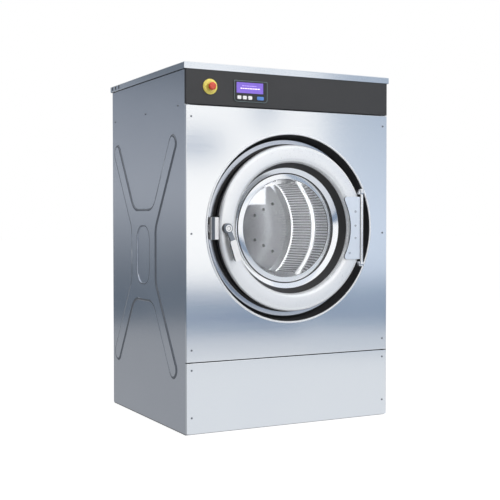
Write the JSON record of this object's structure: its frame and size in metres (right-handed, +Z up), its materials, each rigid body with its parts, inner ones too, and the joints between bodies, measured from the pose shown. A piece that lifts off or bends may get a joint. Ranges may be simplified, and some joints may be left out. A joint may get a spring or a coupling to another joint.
{
  "type": "washing machine",
  "caption": "Freestanding industrial front-loading washer-extractor with a round glass door, side hinge, lever lock, flat control fascia and belt-driven slotted drum",
  "frame": {"origin": "on the floor, at the centre of the four floor bolts and of the cabinet's footprint", "axes": "X to the right as seen from the front, Y from the front to the back, Z up"},
  "size_m": [0.8948, 0.8663, 1.356],
  "materials": {
    "stainless_panel": "fine-grained stainless sheet",
    "fascia_paint": "matt dark warm grey paint",
    "frame_paint": "grey primer on welded steel",
    "polished_steel": "polished stainless steel",
    "tub_steel": "plain stainless sheet",
    "drum_steel": "bright stainless sheet",
    "bearing_steel": "ground steel",
    "cast_parts": "painted iron casting",
    "motor_alloy": "grey die-cast housing",
    "black_rubber": "matt black rubber",
    "door_glass": "clear toughened glass",
    "bezel_plastic": "dark moulded plastic",
    "display": "violet display window",
    "white_key": "white key cap",
    "blue_key": "blue key cap",
    "yellow_plastic": "yellow moulded collar",
    "red_plastic": "red mushroom head",
    "stem_plastic": "grey moulded plastic",
    "inlet_brass": "plain brass"
  },
  "bodies": {
    "cabinet": {"base_frame": "frame_paint", "upper_frame": "frame_paint", "tub_cradle_front": "frame_paint", "tub_cradle_rear": "frame_paint", "left_side_panel": "stainless_panel", "right_side_panel": "stainless_panel", "rear_panel": "stainless_panel", "front_panel": "stainless_panel", "plinth_panel": "stainless_panel", "control_fascia": "fascia_paint", "top_lid": "stainless_panel", "display_bezel": "bezel_plastic", "display_screen": "display", "e_stop_collar": "yellow_plastic", "control_box": "bezel_plastic", "tub_shell": "tub_steel", "tub_front": "tub_steel", "door_frame_ring": "polished_steel", "splash_seal": "black_rubber", "bearing_housing": "cast_parts", "front_bearing": "bearing_steel", "rear_bearing": "bearing_steel", "shaft_seal": "black_rubber", "motor": "motor_alloy", "motor_bracket": "frame_paint", "drive_belt": "black_rubber", "cold_inlet_valve": "inlet_brass", "hot_inlet_valve": "inlet_brass", "drain_valve": "stem_plastic", "hinge_lug_upper": "polished_steel", "hinge_lug_lower": "polished_steel", "hinge_pin": "polished_steel", "lock_keeper": "polished_steel"},
    "drum": {"drum_wall": "drum_steel", "drum_front": "drum_steel", "drum_back": "drum_steel", "drum_lifter_1": "drum_steel", "drum_lifter_2": "drum_steel", "drum_lifter_3": "drum_steel", "drum_spider": "cast_parts", "drum_shaft": "bearing_steel", "drum_pulley": "cast_parts"},
    "motor_rotor": {"motor_pulley": "cast_parts"},
    "door": {"door_ring": "polished_steel", "door_gasket": "black_rubber", "glass_seal": "black_rubber", "glass_clamp_ring": "polished_steel", "glass_retainer": "polished_steel", "door_glass": "door_glass", "hinge_plate": "polished_steel"},
    "handle": {"door_handle": "polished_steel", "latch_tongue": "polished_steel"},
    "e_stop_plunger": {"e_stop_plunger": "stem_plastic"},
    "e_stop_head": {"e_stop_head": "red_plastic"},
    "key_1": {"key_1": "white_key"},
    "key_2": {"key_2": "white_key"},
    "key_3": {"key_3": "white_key"},
    "key_start": {"key_start": "blue_key"}
  },
  "joints": [
    {"name": "drum_spin", "type": "hinge", "parent": "cabinet", "child": "drum", "pos_m": [0, 0, 0.7547], "axis": [0, 1, 0], "continuous": true},
    {"name": "motor_spin", "type": "hinge", "parent": "cabinet", "child": "motor_rotor", "pos_m": [0.15, 0.25, 0.232], "axis": [0, 1, 0], "continuous": true},
    {"name": "door_hinge", "type": "hinge", "parent": "cabinet", "child": "door", "pos_m": [0.2985, -0.417, 0.7547], "axis": [0, 0, 1], "range_deg": [0, 150]},
    {"name": "handle_turn", "type": "hinge", "parent": "door", "child": "handle", "pos_m": [-0.29, -0.411, 0.7547], "axis": [0, 1, 0], "range_deg": [0, 80]},
    {"name": "e_stop_push", "type": "slide", "parent": "cabinet", "child": "e_stop_plunger", "axis": [0, 1, 0], "range_m": [0, 0.005], "stiffness_N_per_m": 800},
    {"name": "e_stop_twist", "type": "hinge", "parent": "e_stop_plunger", "child": "e_stop_head", "pos_m": [-0.344, -0.4, 1.271], "axis": [0, 1, 0], "range_deg": [0, 45], "stiffness_Nm_per_rad": 0.05},
    {"name": "key_1_press", "type": "slide", "parent": "cabinet", "child": "key_1", "axis": [0, 1, 0], "range_m": [0, 0.001], "stiffness_N_per_m": 400},
    {"name": "key_2_press", "type": "slide", "parent": "cabinet", "child": "key_2", "axis": [0, 1, 0], "range_m": [0, 0.001], "stiffness_N_per_m": 400},
    {"name": "key_3_press", "type": "slide", "parent": "cabinet", "child": "key_3", "axis": [0, 1, 0], "range_m": [0, 0.001], "stiffness_N_per_m": 400},
    {"name": "key_start_press", "type": "slide", "parent": "cabinet", "child": "key_start", "axis": [0, 1, 0], "range_m": [0, 0.001], "stiffness_N_per_m": 400}
  ],
  "couplings": [
    {"joint": "motor_spin", "follows": "drum_spin", "ratio": 5}
  ]
}
